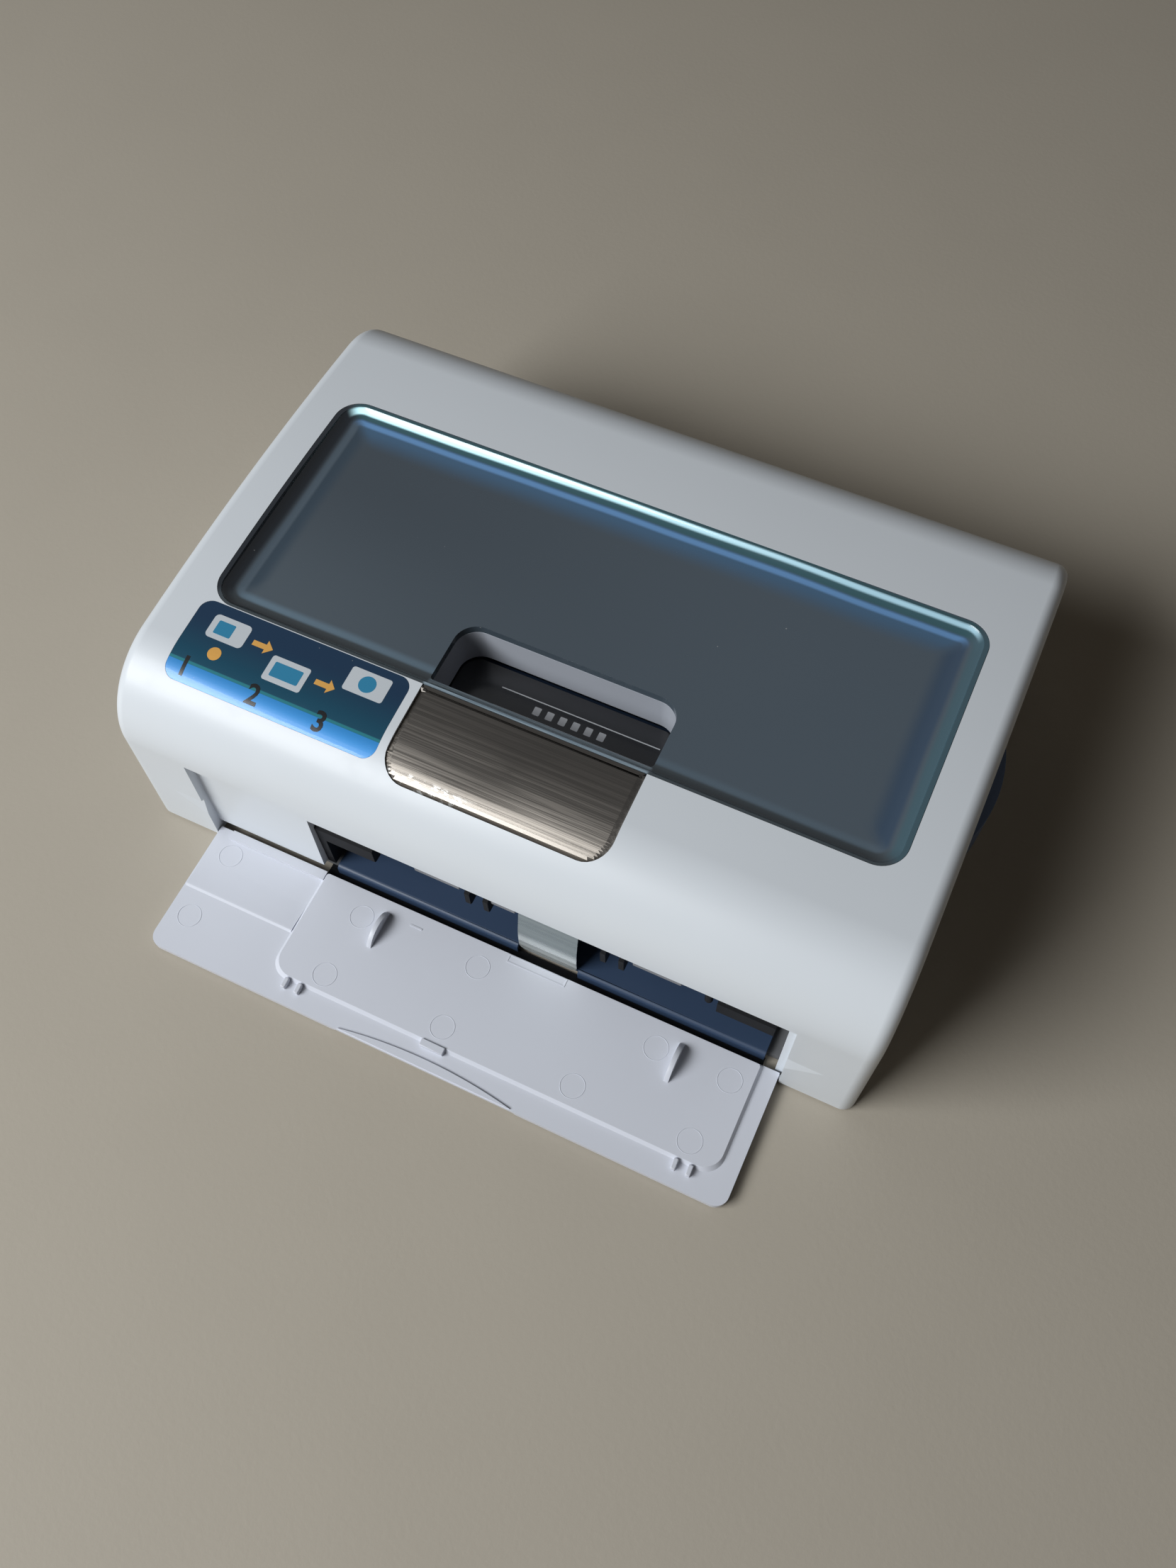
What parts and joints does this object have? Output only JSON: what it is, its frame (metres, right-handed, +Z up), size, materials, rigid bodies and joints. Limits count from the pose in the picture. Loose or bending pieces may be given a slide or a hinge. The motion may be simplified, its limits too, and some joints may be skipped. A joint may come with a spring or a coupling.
{
  "type": "compact photo printer",
  "caption": "Compact dye-sublimation photo printer: white rolled shell with smoky top window, hinged front door over the paper slot, ribbon cassette slid in from the side.",
  "frame": {"origin": "on the table plane under the centre of the body, between the four feet", "axes": "+X to the right along the width, +Y towards the back, +Z up; the front door faces -Y"},
  "size_m": [0.1764, 0.1518, 0.054],
  "materials": {
    "case_white": "cool white moulded plastic, satin gloss",
    "base_grey": "light grey moulded plastic, fine texture",
    "window_smoke": "smoky blue-grey translucent plastic",
    "well_grey": "grey moulded plastic",
    "badge_metal": "dark brushed metal, bright worn edge",
    "label_blue": "printed film label, dark blue",
    "tray_navy": "dark blue moulded plastic",
    "guide_black": "black moulded plastic",
    "bar_grey": "light grey moulded plastic",
    "leaf_steel": "bright spring steel",
    "zinc_plate": "zinc-plated sheet steel",
    "deck_grey": "dark grey moulded plastic",
    "nylon": "natural nylon",
    "shaft_steel": "ground steel",
    "motor_steel": "nickel-plated can",
    "circuit_board": "green solder resist",
    "chip_black": "black moulded packages",
    "socket_black": "black connector body",
    "port_shell": "tin-plated connector shell",
    "lamp_lens": "green light pipe",
    "foot_rubber": "grey rubber",
    "screw_steel": "zinc-plated screws",
    "door_white": "cool white moulded plastic, satin",
    "button_silver": "silver-grey plastic",
    "cassette_navy": "dark blue moulded plastic",
    "cassette_print": "black printed label",
    "ribbon_film": "thin coated film",
    "spool_white": "white moulded plastic",
    "supply_ribbon": "wound coated film",
    "used_ribbon": "wound used film",
    "roller_rubber": "ground black rubber",
    "pinion_brass": "brass",
    "heatsink_aluminium": "extruded aluminium",
    "head_ceramic": "glazed ceramic strip"
  },
  "bodies": {
    "housing": {"upper_case": "case_white", "bottom_case": "base_grey", "window_panel": "window_smoke", "pocket_well": "well_grey", "badge_plate": "badge_metal", "instruction_label": "label_blue", "feed_tray": "tray_navy", "front_guide": "guide_black", "guide_bars": "bar_grey", "pressure_leaf": "leaf_steel", "left_side_plate": "zinc_plate", "right_side_plate": "zinc_plate", "chassis_tie_bar": "zinc_plate", "paper_deck": "deck_grey", "rear_paper_guide": "deck_grey", "platen_bearings": "nylon", "capstan_bearings": "nylon", "pickup_bearings": "nylon", "pinch_holders": "guide_black", "head_pivot_shaft": "shaft_steel", "idler_studs": "shaft_steel", "drive_motor": "motor_steel", "motor_bracket": "zinc_plate", "main_board": "circuit_board", "board_chips": "chip_black", "dc_inlet": "socket_black", "usb_ports": "port_shell", "switch_board": "circuit_board", "power_lamp": "lamp_lens", "rubber_feet": "foot_rubber", "case_screws": "screw_steel", "board_screws": "screw_steel"},
    "door": {"front_door": "door_white"},
    "button": {"power_button": "button_silver"},
    "ribbon_cassette": {"cassette_case": "cassette_navy", "cassette_bridges": "cassette_navy", "cassette_label": "cassette_print", "cassette_grip": "cassette_navy", "ribbon_web": "ribbon_film"},
    "supply_reel": {"supply_spool": "spool_white", "supply_film": "supply_ribbon"},
    "takeup_reel": {"takeup_spool": "spool_white", "takeup_film": "used_ribbon"},
    "platen": {"platen_shaft": "shaft_steel", "platen_rubber": "roller_rubber"},
    "capstan": {"capstan_roller": "shaft_steel", "capstan_gear": "nylon"},
    "pinch": {"pinch_roller": "roller_rubber"},
    "pickup": {"pickup_shaft": "shaft_steel", "pickup_tyres": "roller_rubber", "pickup_gear": "nylon"},
    "motor_rotor": {"motor_pinion": "pinion_brass"},
    "reduction": {"reduction_gear": "nylon"},
    "takeup_drive": {"takeup_gear": "nylon"},
    "supply_drive": {"supply_hub": "nylon"},
    "rear_idler": {"idler_gear_rear": "nylon"},
    "front_idler": {"idler_gear_front": "nylon"},
    "print_head": {"head_arm": "zinc_plate", "head_heatsink": "heatsink_aluminium", "thermal_head": "head_ceramic"}
  },
  "joints": [
    {"name": "door_hinge", "type": "hinge", "parent": "housing", "child": "door", "pos_m": [0, -0.0601, 0.0015], "axis": [1, 0, 0], "range_deg": [-91.8, 0]},
    {"name": "button_press", "type": "slide", "parent": "housing", "child": "button", "axis": [1, 0, 0], "range_m": [0, 0.0008], "stiffness_N_per_m": 400},
    {"name": "cassette_slide", "type": "slide", "parent": "housing", "child": "ribbon_cassette", "axis": [1, 0, 0], "range_m": [0, 0.13]},
    {"name": "supply_spin", "type": "hinge", "parent": "ribbon_cassette", "child": "supply_reel", "pos_m": [0, -0.02, 0.0294], "axis": [1, 0, 0], "continuous": true},
    {"name": "takeup_spin", "type": "hinge", "parent": "ribbon_cassette", "child": "takeup_reel", "pos_m": [0, 0.026, 0.0294], "axis": [1, 0, 0], "continuous": true},
    {"name": "platen_spin", "type": "hinge", "parent": "housing", "child": "platen", "pos_m": [0, 0.0085, 0.011], "axis": [1, 0, 0], "continuous": true},
    {"name": "capstan_spin", "type": "hinge", "parent": "housing", "child": "capstan", "pos_m": [0, 0.046, 0.013], "axis": [1, 0, 0], "continuous": true},
    {"name": "pinch_spin", "type": "hinge", "parent": "housing", "child": "pinch", "pos_m": [0, 0.046, 0.02035], "axis": [1, 0, 0], "continuous": true},
    {"name": "pickup_spin", "type": "hinge", "parent": "housing", "child": "pickup", "pos_m": [0, -0.04163, 0.0202], "axis": [1, 0, 0], "continuous": true},
    {"name": "motor_spin", "type": "hinge", "parent": "housing", "child": "motor_rotor", "pos_m": [-0.06, 0.02984, 0.01428], "axis": [1, 0, 0], "continuous": true},
    {"name": "reduction_spin", "type": "hinge", "parent": "housing", "child": "reduction", "pos_m": [-0.056, 0.04261, 0.02565], "axis": [1, 0, 0], "continuous": true},
    {"name": "takeup_drive_spin", "type": "hinge", "parent": "housing", "child": "takeup_drive", "pos_m": [-0.054, 0.026, 0.0294], "axis": [1, 0, 0], "continuous": true},
    {"name": "supply_drive_spin", "type": "hinge", "parent": "housing", "child": "supply_drive", "pos_m": [-0.05, -0.02, 0.0294], "axis": [1, 0, 0], "continuous": true},
    {"name": "rear_idler_spin", "type": "hinge", "parent": "housing", "child": "rear_idler", "pos_m": [-0.054, 0.00325, 0.02539], "axis": [1, 0, 0], "continuous": true},
    {"name": "front_idler_spin", "type": "hinge", "parent": "housing", "child": "front_idler", "pos_m": [-0.054, -0.02062, 0.02203], "axis": [1, 0, 0], "continuous": true},
    {"name": "head_lift", "type": "hinge", "parent": "housing", "child": "print_head", "pos_m": [0, 0.044, 0.038], "axis": [1, 0, 0], "range_deg": [0, 5.6]}
  ],
  "couplings": [
    {"joint": "reduction_spin", "follows": "capstan_spin", "ratio": -1.8889},
    {"joint": "motor_spin", "follows": "capstan_spin", "ratio": 5.2469},
    {"joint": "takeup_drive_spin", "follows": "capstan_spin", "ratio": -2.1465},
    {"joint": "takeup_spin", "follows": "capstan_spin", "ratio": -2.1465},
    {"joint": "supply_drive_spin", "follows": "capstan_spin", "ratio": -2.1465},
    {"joint": "supply_spin", "follows": "capstan_spin", "ratio": -2.1465},
    {"joint": "rear_idler_spin", "follows": "capstan_spin", "ratio": 1.9676},
    {"joint": "front_idler_spin", "follows": "capstan_spin", "ratio": -1.9676},
    {"joint": "pickup_spin", "follows": "capstan_spin", "ratio": 2.6235},
    {"joint": "pinch_spin", "follows": "capstan_spin", "ratio": -1.3333},
    {"joint": "platen_spin", "follows": "capstan_spin", "ratio": 0.57143}
  ]
}
